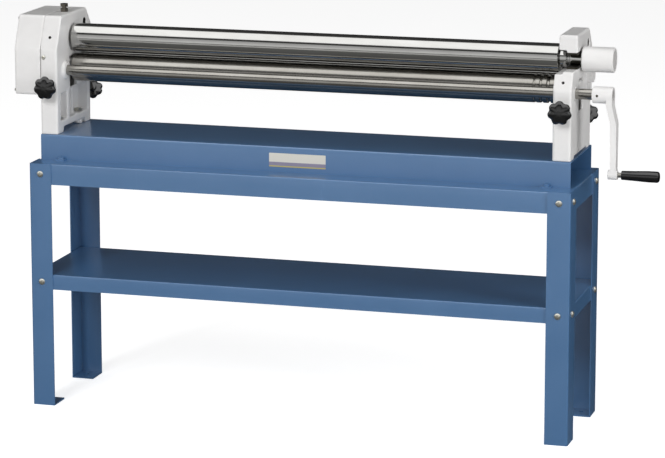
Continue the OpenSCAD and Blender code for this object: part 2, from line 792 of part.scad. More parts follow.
// Rolls: turned profiles of [radius, place along the roll]
module turned(points) {
    rotate([0, 90, 0]) rotate_extrude() polygon(points);
}
module upper_roll() {
    half = roll_l / 2;
    slot_x = inner + wide_slot_l;
    free_end = sleeve_x + sleeve_l - sleeve_bore_l + run * 6;
    color([0.82, 0.83, 0.85]) on_base() at(pinch_y, upper_z) {
        turned([[0, -outer], [swivel_journal_d / 2, -outer], [swivel_journal_d / 2, -half - thin_collar_l],
            [thin_collar_d / 2, -half - thin_collar_l], [thin_collar_d / 2, -half],
            [roll_r - 1, -half], [roll_r, -half + 1], [roll_r, half - 1], [roll_r - 1, half],
            [neck_d / 2, half], [neck_d / 2, half + 2], [collar_d / 2 - 1, half + 2],
            [collar_d / 2, half + 3], [collar_d / 2, half + 1 + collar_l],
            [collar_d / 2 - 1, half + 2 + collar_l], [neck_d / 2, half + 2 + collar_l],
            [neck_d / 2, slot_x - 1], [open_journal_d / 2 - 1, slot_x - 1],
            [open_journal_d / 2, slot_x], [open_journal_d / 2, free_end - 1],
            [open_journal_d / 2 - 1, free_end], [0, free_end]]);
        translate([-outer - tongue_l, -tongue_t / 2, -tongue_h / 2])
            cube([tongue_l + cut, tongue_t, tongue_h]);
    }
}
// Points of one wire groove, from its right edge to its left edge
function groove(x, r) = [for (i = [0 : 6]) [roll_r - r * 0.9 * sin(i * 30), x + r * cos(i * 30)]];
module lower_roll() {
    half = roll_l / 2;
    shoulder = journal_d / 2 + 4;
    color([0.82, 0.83, 0.85]) on_base() at(pinch_y, lower_z) turned(concat(
        [[0, -gear_a - roll_gear_w - 2], [gear_bore_d / 2, -gear_a - roll_gear_w - 2],
            [gear_bore_d / 2, -outer - 1], [journal_d / 2, -outer - 1],
            [journal_d / 2, -inner + slip], [shoulder, -inner + slip], [shoulder, -half],
            [roll_r - 1, -half], [roll_r, -half + 1]],
        [for (i = [2 : -1 : 0]) each [for (j = [6 : -1 : 0]) groove(half - groove_at[i], groove_r[i])[j]]],
        [[roll_r, half - 1], [roll_r - 1, half], [shoulder, half], [shoulder, inner - slip],
            [journal_d / 2, inner - slip], [journal_d / 2, outer - blind - 1], [0, outer - blind - 1]]));
}
module rear_roll() {
    half = roll_l / 2;
    shoulder = journal_d / 2 + 4;
    end = outer - blind - 1;
    color([0.82, 0.83, 0.85]) on_base() at(rear_y, rear_z)
        turned([[0, -end], [journal_d / 2, -end], [journal_d / 2, -inner + slip],
            [shoulder, -inner + slip], [shoulder, -half], [roll_r - 1, -half], [roll_r, -half + 1],
            [roll_r, half - 1], [roll_r - 1, half], [shoulder, half], [shoulder, inner - slip],
            [journal_d / 2, inner - slip], [journal_d / 2, end], [0, end]]);
}

// Bearing blocks of the lower roll, with sloping undersides that the wedges lift
block_low = lower_z - block_down;
module lower_block(s, x_end) {
    half = block_w / 2;
    rise = half / wedge_slope;
    x0 = s > 0 ? inner : -outer;
    color([0.88, 0.88, 0.86]) on_base() difference() {
        along_x(x0, x0 + head_w) polygon([[pinch_y - half, block_low + rise],
            [pinch_y + half, block_low - rise], [pinch_y + half, lower_z + block_up],
            [pinch_y - half, lower_z + block_up]]);
        at(pinch_y, lower_z) rod(s > 0 ? inner - cut : -outer - cut, x_end, journal_d + 2 * run);
    }
}
module lower_block_left() { lower_block(-1, -inner + cut); }
module lower_block_right() { lower_block(1, outer - blind); }

module wedge(s) {
    y0 = pinch_y - block_w / 2;
    rise = block_w / 2 / wedge_slope;
    top = block_low + rise - slip;
    x0 = s > 0 ? inner : -outer;
    color([0.6, 0.6, 0.58]) on_base() difference() {
        along_x(x0 + 2, x0 + head_w - 2) polygon([[y0, window_floor + slip],
            [y0 + wedge_l, window_floor + slip], [y0 + wedge_l, top - wedge_l / wedge_slope], [y0, top]]);
        translate([s * head_x, y0 - cut, wedge_z]) rotate([-90, 0, 0])
            cylinder(h = wedge_hole + cut, d = screw_d + 4 * run);
    }
}
module wedge_left() { wedge(-1); }
module wedge_right() { wedge(1); }

// Bearing blocks of the rear roll, sliding up the slope
module rear_bearing(s) {
    half = rear_block / 2;
    deep = s > 0 ? outer - blind : -outer + blind;
    color([0.88, 0.88, 0.86]) on_base() difference() {
        union() {
            side(s) on_slope() translate([-head_w / 2, -half, -half])
                cube([head_w, rear_block, rear_block]);
            if (s > 0) at(rear_y, rear_z) rod(outer - cut, outer + rear_boss_h, rear_boss_d);
        }
        at(rear_y, rear_z) rod(min(s * (inner - cut), deep), max(s * (inner - cut), deep),
            journal_d + 2 * run);
        side(s) on_slope() translate([0, 0, -half - cut])
            cylinder(h = rear_screw_in + run + cut, d = screw_d + 4 * run);
    }
}
module rear_block_left() { rear_bearing(-1); }
module rear_block_right() { rear_bearing(1); }

// Adjusting screws and their lobed knobs: the axis runs from the knob's outer face to the screw's tip
knob_len = knob_hub + knob_t;
module knob() {
    rim = knob_d / 2;
    color([0.07, 0.07, 0.07]) difference() {
        intersection() {
            rotate_extrude() polygon([[0, 0], [rim * 0.45, 0], [rim * 0.8, 1.5], [rim - 2, 5], [rim, 9],
                [rim, knob_t - 3], [rim - 3, knob_t], [rim * 0.5, knob_t], [rim * 0.42, knob_len],
                [0, knob_len]]);
            difference() {
                cylinder(h = knob_len, d = knob_d + 1);
                for (i = [0 : knob_lobes - 1]) rotate([0, 0, 360 / knob_lobes * i])
                    translate([rim + scallop_out, 0, -cut]) cylinder(h = knob_len + 2 * cut, r = scallop_r);
            }
        }
        translate([0, 0, knob_len - knob_bore]) cylinder(h = knob_bore + cut, d = screw_d);
    }
}
front_screw_l = pinch_y - block_w / 2 + screw_in_wedge - knob_y + knob_bore;
rear_screw_l = rear_knob_s + knob_len / 2 - knob_len + knob_bore - rear_block / 2 + rear_screw_in;
module at_front(s) {
    on_base() translate([s * head_x, knob_y - knob_len, wedge_z]) rotate([-90, 0, 0]) children();
}
module at_rear(s) {
    on_base() side(s) on_slope() translate([0, 0, -rear_knob_s - knob_len / 2]) children();
}
module screw(l) {
    color([0.6, 0.61, 0.62]) translate([0, 0, knob_len - knob_bore]) rotate_extrude()
        polygon([[0, 0], [screw_d / 2, 0], [screw_d / 2, l - 1], [screw_d / 2 - 1, l], [0, l]]);
}
module front_knob_left() { at_front(-1) knob(); }
module front_knob_right() { at_front(1) knob(); }
module front_screw_left() { at_front(-1) screw(front_screw_l); }
module front_screw_right() { at_front(1) screw(front_screw_l); }
module rear_knob_left() { at_rear(-1) knob(); }
module rear_knob_right() { at_rear(1) knob(); }
module rear_screw_left() { at_rear(-1) screw(rear_screw_l); }
module rear_screw_right() { at_rear(1) screw(rear_screw_l); }

// Involute gears, turned so that each tooth meets its mate's gap
function involute(a) = tan(a) * 180 / PI - a;
function gear_points(m, z) =
    let (
        r = m * z / 2,
        base = r * cos(pressure),
        root = r - root_share * m,
        tip = r + tip_share * m,
        start = max(base, root),
        half = 90 / z - backlash / 2 / r * 180 / PI + involute(pressure),
        flank = [for (i = [0 : flank_steps])
            let (q = start + (tip - start) * i / flank_steps)
            [q, half - involute(acos(min(1, base / q)))]],
        tooth = concat([[root, flank[0][1]]], flank)
    )
    [for (t = [0 : z - 1])
        each concat(
            [for (i = [0 : flank_steps + 1])
                let (p = tooth[i], a = 360 / z * t - p[1]) [p[0] * cos(a), p[0] * sin(a)]],
            [for (i = [flank_steps + 1 : -1 : 0])
                let (p = tooth[i], a = 360 / z * t + p[1]) [p[0] * cos(a), p[0] * sin(a)]])];
function mate(line, phase, z, z_mate) = line + 180 + (line - phase) * z / z_mate + 180 / z_mate;

wheel_phase = 0;
idler_line = atan2(idler_z - upper_z, idler_y - pinch_y);
idler_phase = mate(idler_line, wheel_phase, wheel_teeth, pinion_teeth);
pinion_line = atan2(shaft_z - idler_z, shaft_y - idler_y);
pinion_phase = mate(pinion_line, idler_phase, pinion_teeth, pinion_teeth);
upper_phase = -90;
lower_phase = mate(-90, upper_phase, roll_teeth, roll_teeth);

module gear(x0, x1, m, z, phase) {
    along_x(x0, x1) rotate(phase) polygon(gear_points(m, z));
}
module drive_pinion() {
    color([0.55, 0.55, 0.53]) on_base() at(shaft_y, shaft_z) difference() {
        gear(-gear_b - drive_gear_w, -gear_b, drive_module, pinion_teeth, pinion_phase);
        rod(-gear_b - drive_gear_w - cut, -gear_b + cut, pinion_bore_d);
    }
}
module idler_gear() {
    color([0.55, 0.55, 0.53]) on_base() at(idler_y, idler_z) difference() {
        gear(-gear_b - drive_gear_w, -gear_b, drive_module, pinion_teeth, idler_phase);
        rod(-gear_b - drive_gear_w - cut, -gear_b + cut, idler_pin_d + 2 * run);
    }
}
module idler_pin() {
    far = gear_b + drive_gear_w + slip;
    color([0.7, 0.7, 0.7]) on_base() at(idler_y, idler_z)
        turned([[0, -far - idler_pin_head_t], [idler_pin_head_d / 2, -far - idler_pin_head_t],
            [idler_pin_head_d / 2, -far], [idler_pin_d / 2, -far], [idler_pin_d / 2, -gear_b + slip],
            [idler_pin_head_d / 2, -gear_b + slip], [idler_pin_head_d / 2, -outer],
            [idler_pin_d / 2, -outer], [idler_pin_d / 2, -outer + head_w / 2], [0, -outer + head_w / 2]]);
}
spindle_face = outer + cover_l - cover_t - spindle_flange_t;
module gear_spindle() {
    color([0.7, 0.7, 0.7]) on_base() at(pinch_y, upper_z)
        turned([[0, -outer - cover_l], [spindle_d / 2, -outer - cover_l],
            [spindle_d / 2, -outer - cover_l + cover_t], [spindle_flange_d / 2, -outer - cover_l + cover_t],
            [spindle_flange_d / 2, -spindle_face], [spindle_d / 2, -spindle_face],
            [spindle_d / 2, -gear_a - tongue_l - 2], [0, -gear_a - tongue_l - 2]]);
}
module drive_wheel() {
    color([0.55, 0.55, 0.53]) on_base() at(pinch_y, upper_z) difference() {
        union() {
            gear(-gear_b - drive_gear_w, -gear_b, drive_module, wheel_teeth, wheel_phase);
            rod(-spindle_face + slip, -gear_a, 2 * hub_r);
        }
        rod(-spindle_face, -gear_a - tongue_l - 1, spindle_d + 2 * run);
        translate([-gear_a - tongue_l + 1, -tongue_t / 2 - tongue_play, -hub_r - cut])
            cube([tongue_l, tongue_t + 2 * tongue_play, 2 * hub_r + 2 * cut]);
        for (a = [45 : 90 : 315]) rotate([a, 0, 0]) translate([0, 0, wheel_r * 0.64])
            rod(-gear_b - drive_gear_w - cut, -gear_b + cut, drive_gear_w);
    }
}
module upper_gear() {
    color([0.5, 0.5, 0.48]) on_base() at(pinch_y, upper_z) difference() {
        gear(-gear_a - roll_gear_w, -gear_a, roll_module, roll_teeth, upper_phase);
        rod(-gear_a - roll_gear_w - cut, -gear_a + cut, 2 * hub_r);
    }
}
module lower_gear() {
    color([0.5, 0.5, 0.48]) on_base() at(pinch_y, lower_z) difference() {
        gear(-gear_a - roll_gear_w, -gear_a, roll_module, roll_teeth, lower_phase);
        rod(-gear_a - roll_gear_w - cut, -gear_a + cut, gear_bore_d);
    }
}

// Crank
module crank_shaft() {
    end = arm_x + arm_t - shaft_recess;
    color([0.8, 0.81, 0.83]) on_base() at(shaft_y, shaft_z)
        turned([[0, -gear_b - drive_gear_w], [pinion_bore_d / 2, -gear_b - drive_gear_w],
            [pinion_bore_d / 2, -gear_b], [shaft_d / 2, -gear_b], [shaft_d / 2, end - 1],
            [shaft_d / 2 - 1, end], [0, end]]);
}
// Tapered outline of the arm, from inside its disc round the shaft to its rounded end
function arm_face() =
    let (top = hub_d / 2 - 1, low = arm_w / 2 - 1, tilt = asin((top - low) / crank_r))
    concat(
        [for (i = [0 : 12]) let (a = -tilt + (180 + 2 * tilt) * i / 12) [top * cos(a), top * sin(a)]],
        [for (i = [0 : 12]) let (a = 180 + tilt + (180 - 2 * tilt) * i / 12)
            [low * cos(a), -crank_r + low * sin(a)]]);
module crank_arm() {
    color([0.91, 0.91, 0.89]) on_base() at(shaft_y, shaft_z) difference() {
        union() {
            turned([[0, hub_x], [hub_d / 2 - 1.5, hub_x], [hub_d / 2, hub_x + 1.5],
                [hub_d / 2, arm_x + arm_t - 1], [hub_d / 2 - 1, arm_x + arm_t], [0, arm_x + arm_t]]);
            intersection() {
                translate([0, hub_d, 0]) rotate([90, 0, 0]) linear_extrude(2 * hub_d)
                    polygon(rounded([[arm_x, hub_d, 0], [arm_x, -arm_bend_top, arm_t * 2],
                        [arm_x + arm_offset, -arm_bend_low, arm_t], [arm_x + arm_offset, -crank_r - arm_w, 0],
                        [arm_x + arm_offset + arm_t, -crank_r - arm_w, 0],
                        [arm_x + arm_offset + arm_t, -arm_bend_low, arm_t * 2],
                        [arm_x + arm_t, -arm_bend_top, arm_t], [arm_x + arm_t, hub_d, 0]]));
                along_x(arm_x - cut, arm_x + arm_offset + arm_t + cut) polygon(arm_face());
            }
            at(0, -crank_r) turned([[0, arm_x + arm_offset - end_boss * 2],
                [arm_w / 2 - 1, arm_x + arm_offset - end_boss * 2],
                [arm_w / 2, arm_x + arm_offset - end_boss * 2 + 1],
                [arm_w / 2, pin_x - 1], [arm_w / 2 - 1, pin_x], [0, pin_x]]);
        }
        rod(hub_x - cut, pin_x, shaft_d);
        at(0, -crank_r) rod(arm_x, pin_x + cut, pin_d);
        translate([hub_x + set_screw_inset, 0, 0]) rotate([90, 0, 0]) cylinder(h = hub_d, d = set_screw_d);
    }
}
module crank_set_screw() {
    color([0.2, 0.2, 0.2]) on_base() at(shaft_y, shaft_z)
        translate([hub_x + set_screw_inset, 0, 0]) rotate([90, 0, 0]) translate([0, 0, shaft_d / 2])
            difference() {
                cylinder(h = hub_d / 2 - shaft_d / 2 - 2, d = set_screw_d);
                translate([0, 0, 2]) cylinder(h = hub_d, r = set_screw_d * 0.27, $fn = 6);
            }
}
module grip_pin() {
    color([0.7, 0.71, 0.72]) on_base() at(shaft_y, shaft_z - crank_r)
        turned([[0, arm_x + arm_offset - end_boss * 2], [pin_d / 2, arm_x + arm_offset - end_boss * 2],
            [pin_d / 2, grip_x + grip_l * 0.8], [0, grip_x + grip_l * 0.8]]);
}
module crank_grip() {
    neck = grip_d / 2 * grip_neck_share;
    far = grip_x + grip_l;
    color([0.06, 0.06, 0.06]) on_base() at(shaft_y, shaft_z - crank_r) difference() {
        turned([[0, grip_x], [neck - 1, grip_x], [neck, grip_x + 1], [neck + 1, grip_x + grip_l * 0.3],
            [grip_d / 2, grip_x + grip_l * 0.7], [grip_d / 2, far - grip_end_r],
            [grip_d / 2 - 1, far - grip_end_r / 2], [grip_d / 2 - grip_end_r / 2, far - 1],
            [grip_d / 2 - grip_end_r, far], [0, far]]);
        rod(grip_x - cut, grip_x + grip_l * 0.82, pin_d + 2 * grip_bore_play);
    }
}
// Hand sleeve on the free end of the upper roll, and the screw that keeps it there
module hand_sleeve() {
    inside = sleeve_x + sleeve_l - sleeve_bore_l;
    far = sleeve_x + sleeve_l;
    color([0.9, 0.9, 0.88]) on_base() at(pinch_y, upper_z)
        turned([[open_journal_d / 2 + run, sleeve_x], [sleeve_d / 2 - sleeve_edge, sleeve_x],
            [sleeve_d / 2, sleeve_x + sleeve_edge], [sleeve_d / 2, far - sleeve_edge],
            [sleeve_d / 2 - sleeve_edge, far], [sleeve_bore_d / 2, far], [sleeve_bore_d / 2, inside],
            [open_journal_d / 2 + run, inside]]);
}
module sleeve_screw() {
    seat = sleeve_x + sleeve_l - sleeve_bore_l + run * 6;
    color([0.75, 0.75, 0.75]) on_base() at(pinch_y, upper_z) {
        rod(seat, seat + washer_t, washer_d);
        translate([seat + washer_t, 0, 0]) rotate([0, 90, 0])
            cylinder(h = sleeve_screw_h, r = sleeve_screw_hex / sqrt(3), $fn = 6);
    }
}

leg_front_left();
leg_front_right();
leg_rear_left();
leg_rear_right();
table_top();
shelf();
stand_bolts();
stand_nuts();
base_channel();
base_bolts();
base_nuts();
left_head();
right_head();
head_bolts();
head_nuts();
gear_cover();
cover_screws();
seam_screw();
swivel_block();
swivel_plug();
swivel_bolt();
swivel_locknut();
journal_liner();
shaft_bush_left();
shaft_bush_right();
upper_roll();
lower_roll();
rear_roll();
lower_block_left();
lower_block_right();
rear_block_left();
rear_block_right();
wedge_left();
wedge_right();
front_screw_left();
front_screw_right();
front_knob_left();
front_knob_right();
rear_screw_left();
rear_screw_right();
rear_knob_left();
rear_knob_right();
drive_pinion();
idler_gear();
idler_pin();
drive_wheel();
upper_gear();
gear_spindle();
lower_gear();
crank_shaft();
crank_arm();
crank_set_screw();
grip_pin();
crank_grip();
hand_sleeve();
sleeve_screw();
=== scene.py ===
# Hand-cranked slip roll on a folded steel stand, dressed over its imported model.
import json
import math
import bmesh
import bpy
from mathutils import Matrix, Vector


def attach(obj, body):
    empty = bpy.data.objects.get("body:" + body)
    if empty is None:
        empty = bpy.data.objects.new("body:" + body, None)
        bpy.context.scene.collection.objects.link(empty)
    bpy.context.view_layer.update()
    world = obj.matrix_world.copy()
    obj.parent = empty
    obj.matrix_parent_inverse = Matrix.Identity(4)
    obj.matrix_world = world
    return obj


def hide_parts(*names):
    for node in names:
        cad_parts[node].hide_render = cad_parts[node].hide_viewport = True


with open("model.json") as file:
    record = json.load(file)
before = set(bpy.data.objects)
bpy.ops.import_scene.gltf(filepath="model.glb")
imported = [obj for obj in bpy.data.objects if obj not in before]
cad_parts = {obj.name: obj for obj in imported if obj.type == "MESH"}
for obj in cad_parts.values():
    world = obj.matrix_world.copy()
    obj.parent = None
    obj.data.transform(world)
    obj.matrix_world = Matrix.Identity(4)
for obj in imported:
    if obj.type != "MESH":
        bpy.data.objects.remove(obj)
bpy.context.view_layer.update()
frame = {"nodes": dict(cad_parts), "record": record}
nodes = frame["nodes"]


# Camera: the photograph is taken from the right of the machine, a little above the rolls,
# with a long lens whose axis points above the middle of the picture. Drop and turn are in degrees.
PICTURE_W = 665
PICTURE_H = 458
FOCAL_PX = 3028.8
AXIS_ROW = 150
CAMERA_PLACE = (2.2625, -7.531, 2.159)
CAMERA_DROP = 10.499
CAMERA_TURN = 16.347
camera_data = bpy.data.cameras.new("photo_camera")
camera = bpy.data.objects.new("photo_camera", camera_data)
bpy.context.scene.collection.objects.link(camera)
camera_data.sensor_width = 36
camera_data.lens = FOCAL_PX / PICTURE_W * camera_data.sensor_width
camera_data.shift_y = -(PICTURE_H / 2 - AXIS_ROW) / PICTURE_W
camera_data.clip_end = 60
camera.location = CAMERA_PLACE
camera.rotation_euler = (math.radians(90 - CAMERA_DROP), 0, math.radians(CAMERA_TURN))
bpy.context.scene.camera = camera
bpy.context.scene.view_settings.view_transform = "Standard"


# Stand and base: four bent steel angles, a folded table top and a folded shelf, bolted together, with
# the folded base channel bolted on top. They and the channel's bolts are powder coated in grey-blue.
# Its finish needs shader maths: a socket that takes part in Python expressions.
class Shade:
    def __init__(self, tree, socket):
        self.tree = tree
        self.socket = socket

    def node(self, kind, settings=None, inputs=None, output=0):
        made = self.tree.nodes.new(kind)
        for name, value in (settings or {}).items():
            if name == "stops":
                ramp = made.color_ramp
                ramp.elements.remove(ramp.elements[1])
                ramp.elements[0].position = value[0][0]
                ramp.elements[0].color = value[0][1]
                for place, colour in value[1:]:
                    ramp.elements.new(place).color = colour
            else:
                setattr(made, name, value)
        for name, value in (inputs or {}).items():
            target = made.inputs[name]
            if isinstance(value, Shade):
                self.tree.links.new(value.socket, target)
            else:
                target.default_value = value
        return Shade(self.tree, made.outputs[output])

    def maths(self, operation, other, swapped=False):
        first, second = (other, self) if swapped else (self, other)
        return self.node("ShaderNodeMath", {"operation": operation}, {0: first, 1: second})

    def __add__(self, other):
        return self.maths("ADD", other)

    def __radd__(self, other):
        return self.maths("ADD", other, True)

    def __sub__(self, other):
        return self.maths("SUBTRACT", other)

    def __rsub__(self, other):
        return self.maths("SUBTRACT", other, True)

    def __mul__(self, other):
        return self.maths("MULTIPLY", other)

    def __rmul__(self, other):
        return self.maths("MULTIPLY", other, True)

    def below(self, level):
        return self.maths("LESS_THAN", level)

    def ramp(self, low, high):
        return self.node("ShaderNodeMapRange", {"clamp": True}, {
            "Value": self, "From Min": low, "From Max": high, "To Min": 0.0, "To Max": 1.0})

    def mix(self, first, second):
        return self.node("ShaderNodeMix", {"data_type": "RGBA"}, {0: self, 6: first, 7: second}, 2)

    def stretched(self, x, y, z):
        return self.node("ShaderNodeMapping", {"vector_type": "POINT"},
                         {"Vector": self, "Scale": (x, y, z)})

    def noise(self, scale, detail, roughness):
        return self.node("ShaderNodeTexNoise", {}, {
            "Vector": self, "Scale": scale, "Detail": detail, "Roughness": roughness})

    def within(self, point, radius):
        span = self.node("ShaderNodeVectorMath", {"operation": "DISTANCE"}, {0: self, 1: point}, 1)
        return span.below(radius)

    def about(self, centre, reach):
        return self.node("ShaderNodeMath", {"operation": "COMPARE"}, {0: self, 1: centre, 2: reach})

    def part(self, axis):
        return self.node("ShaderNodeSeparateXYZ", {}, {"Vector": self}, axis)


# A colour written in levels of 0 to 255, as the shader takes it.
def tint(r, g, b):
    return (*((c / 255 / 12.92) if c < 10.3 else ((c / 255 + 0.055) / 1.055) ** 2.4 for c in (r, g, b)), 1)


# A principled material, and the place on the piece in metres, for its patterns.
def new_material(name, colour, roughness, metallic=0.0):
    made = bpy.data.materials.new(name)
    made.use_nodes = True
    shader = made.node_tree.nodes["Principled BSDF"]
    shader.inputs["Base Color"].default_value = colour
    shader.inputs["Roughness"].default_value = roughness
    shader.inputs["Metallic"].default_value = metallic
    place = Shade(made.node_tree, None).node("ShaderNodeTexCoord", output=3)
    return made, shader, place


def feed(shader, name, value):
    shader.id_data.links.new(value.socket, shader.inputs[name])


def bump(shader, height, strength, distance):
    feed(shader, "Normal", height.node("ShaderNodeBump", {}, {
        "Height": height, "Strength": strength, "Distance": distance}))


# A finished piece takes its CAD node's place, on the node's own body.
home = {n: body for body, names in frame["record"]["behaviour"]["bodies"].items() for n in names}


def dress(piece, name):
    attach(piece, home[name])
    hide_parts(name)
    return piece


def set_in_scene(name, data):
    piece = bpy.data.objects.new(name, data)
    bpy.context.scene.collection.objects.link(piece)
    return piece


# A smooth copy of a CAD node: its loose triangles are merged, and its round faces shade smoothly.
MERGE_GAP = 2e-6
FLAT_DEGREES = 0.3


def skin(name, material, crease=35):
    mesh = nodes[name].data.copy()
    piece = set_in_scene(name + "_skin", mesh)
    shape = bmesh.new()
    shape.from_mesh(mesh)
    bmesh.ops.remove_doubles(shape, verts=shape.verts, dist=MERGE_GAP)
    bmesh.ops.dissolve_limit(shape, angle_limit=math.radians(FLAT_DEGREES), verts=shape.verts,
                             edges=shape.edges)
    bmesh.ops.triangulate(shape, faces=[f for f in shape.faces if len(f.verts) > 4])
    for edge in shape.edges:
        edge.smooth = len(edge.link_faces) == 2 and edge.calc_face_angle(0) < math.radians(crease)
    for face in shape.faces:
        face.smooth = True
    shape.to_mesh(mesh)
    shape.free()
    mesh.materials.clear()
    mesh.materials.append(material)
    if "custom_normal" in mesh.attributes:
        mesh.attributes.remove(mesh.attributes["custom_normal"])
    return dress(piece, name)


def powder_coat():
    made, shader, place = new_material("stand_powder_coat", tint(69, 109, 152), 0.42)
    grain = place.noise(900, 2, 0.6)
    cloud = place.noise(5, 4, 0.6)
    scuff = place.stretched(1, 1, 0.15).noise(38, 4, 0.7).ramp(0.66, 0.75)
    tone = cloud.ramp(0.3, 0.7).mix(tint(65, 106, 149), tint(72, 112, 155))
    feed(shader, "Base Color", (scuff * 0.3).mix(tone, tint(86, 126, 168)))
    feed(shader, "Roughness", 0.3 + cloud * 0.12 + scuff * 0.08)
    bump(shader, grain, 0.12, 0.0004)
    shader.inputs["Specular IOR Level"].default_value = 0.8
    shader.inputs["Coat Weight"].default_value = 0.9
    shader.inputs["Coat IOR"].default_value = 1.65
    shader.inputs["Coat Roughness"].default_value = 0.24
    return made


blue = powder_coat()
for name in ("leg_front_left", "leg_front_right", "leg_rear_left", "leg_rear_right", "table_top", "shelf",
             "base_channel", "base_bolts"):
    skin(name, blue)


# Fasteners: button-head bolts, nuts and small screws of cold-headed steel, bright zinc plated.
# They hold the stand, the channel, the heads, the gear cover and the hand sleeve.
def zinc_plate():
    made, shader, place = new_material("zinc_plate", tint(205, 203, 192), 0.32, 0.9)
    spangle = place.noise(420, 3, 0.6)
    feed(shader, "Base Color", spangle.ramp(0.3, 0.7).mix(tint(178, 177, 165), tint(222, 220, 210)))
    feed(shader, "Roughness", 0.24 + spangle * 0.22)
    bump(shader, spangle, 0.1, 0.0002)
    return made


zinc = zinc_plate()
for name in ("stand_bolts", "stand_nuts", "base_nuts", "head_bolts", "head_nuts", "cover_screws",
             "seam_screw", "sleeve_screw"):
    skin(name, zinc)


# Heads and gear cover: grey iron castings with softly rounded edges, filled and enamelled off-white.
# An oil hole is drilled through the enamel above each end of the upper roll. Inside it, and inside the
# lifting hole near the top of each head, the bare iron is painted near black as shade.
OIL_HOLE_DEPTH = 0.012
OIL_HOLE_R = 0.0031
OIL_HOLE_LIP = 0.001
# Each oil hole's mouth, and the way that it opens
oil_holes = {"left_head": ((-0.7005, -0.0985, 0.9870), (0, -0.9125, 0.4091)),
             "right_head": ((0.6915, -0.1020, 0.9290), (0, -0.9, 0.4358))}
LIFT_HOLE = (0, 0.099, 1.004)
LIFT_HOLE_R = 0.0113
HEAD_MIDDLES = (-0.7005, 0.6915)
HEAD_HALF = 0.0232
CAST_VOXEL = 0.0021
CAST_ROUNDS = 4


def enamel():
    made, shader, place = new_material("cast_enamel", tint(228, 227, 226), 0.33)
    lumps = place.noise(60, 3, 0.5)
    cast_grain = place.noise(700, 2, 0.5)
    dull = place.noise(9, 4, 0.6)
    coat = dull.ramp(0.3, 0.72).mix(tint(223, 222, 221), tint(233, 232, 231))
    # Inside each oil hole, below its lip, the bare iron is painted near black as shade.
    left_oil_bare_and_shade, right_oil_bare_and_shade = (
        place.within(Vector(mouth) - Vector(way) * OIL_HOLE_DEPTH, OIL_HOLE_DEPTH - OIL_HOLE_LIP)
        for mouth, way in oil_holes.values())
    along = place.part(0)
    left_half, right_half = (along.about(middle, HEAD_HALF) for middle in HEAD_MIDDLES)
    # The lifting hole's bore within each head: bare iron, painted near black as shade.
    lift_hole_bare_and_shade = place.stretched(0, 1, 1).within(LIFT_HOLE, LIFT_HOLE_R) * (left_half + right_half)
    # The near-black tint(24, 22, 20) is painted shade over the bare iron in the holes.
    feed(shader, "Base Color", (left_oil_bare_and_shade + right_oil_bare_and_shade + lift_hole_bare_and_shade).mix(coat, tint(24, 22, 20)))
    feed(shader, "Roughness", 0.26 + dull * 0.16)
    bump(shader, lumps * 0.85 + cast_grain * 0.15, 0.16, 0.0008)
    shader.inputs["Coat Weight"].default_value = 0.25
    shader.inputs["Coat Roughness"].default_value = 0.12
    return made


def drill_oil_hole(head, mouth, way):
    drill_mesh = bpy.data.meshes.new("drill")
    bit = bmesh.new()
    turn = Vector(way).to_track_quat("Z", "Y").to_matrix().to_4x4()
    bmesh.ops.create_cone(bit, cap_ends=True, segments=32, radius1=OIL_HOLE_R, radius2=OIL_HOLE_R,
                          depth=2 * OIL_HOLE_DEPTH, matrix=Matrix.Translation(mouth) @ turn)
    bit.to_mesh(drill_mesh)
    bit.free()
    drill = set_in_scene("drill", drill_mesh)
    bore = head.modifiers.new("bore", "BOOLEAN")
    bore.operation = "DIFFERENCE"
    bore.solver = "EXACT"
    bore.object = drill
    bpy.context.view_layer.update()
    drilled = head.evaluated_get(bpy.context.evaluated_depsgraph_get())
    shaped = bpy.data.meshes.new_from_object(drilled)
    head.modifiers.clear()
    head.data = shaped
    bpy.data.objects.remove(drill)


cream = enamel()
for name in ("left_head", "right_head", "gear_cover"):
    casting = skin(name, cream)
    mould = casting.modifiers.new("mould", "REMESH")
    mould.mode = "VOXEL"
    mould.voxel_size = CAST_VOXEL
    mould.use_smooth_shade = True
    softened = casting.modifiers.new("softened", "SMOOTH")
    softened.factor = 0.5
    softened.iterations = CAST_ROUNDS
    if name in oil_holes:
        drill_oil_hole(casting, *oil_holes[name])


# Bearing blocks, bushes and the swivel's plug: small iron blocks and turned bushes that carry the rolls
# and the shaft, enamelled with the heads. The lower roll's blocks have their top edges filed round, so
# that they clear the cast corners of their pockets when they are lifted.
BLOCK_EASE = 0.006
BLOCK_TOP_BAND = 1e-4
BLOCK_CORNER = 60


def ease_top(block):
    shape = bmesh.new()
    shape.from_mesh(block.data)
    top = max(v.co.z for v in shape.verts)
    rim = [e for e in shape.edges if min(v.co.z for v in e.verts) > top - BLOCK_TOP_BAND
           and len(e.link_faces) == 2 and e.calc_face_angle(0) > math.radians(BLOCK_CORNER)]
    bmesh.ops.bevel(shape, geom=rim, offset=BLOCK_EASE, segments=4, profile=0.5, affect="EDGES",
                    material=-1, clamp_overlap=True)
    shape.to_mesh(block.data)
    shape.free()


for name in ("swivel_plug", "lower_block_left", "lower_block_right", "rear_block_left", "rear_block_right",
             "shaft_bush_left", "shaft_bush_right"):
    bearing = skin(name, cream)
    if name.startswith("lower_block"):
        ease_top(bearing)


# Hand sleeve and crank arm: a turned sleeve that is screwed onto the upper roll's free end, and a cast
# arm with a hub that a set screw holds on the crank shaft. Both are enamelled with the heads.
for name in ("hand_sleeve", "crank_arm"):
    skin(name, cream)


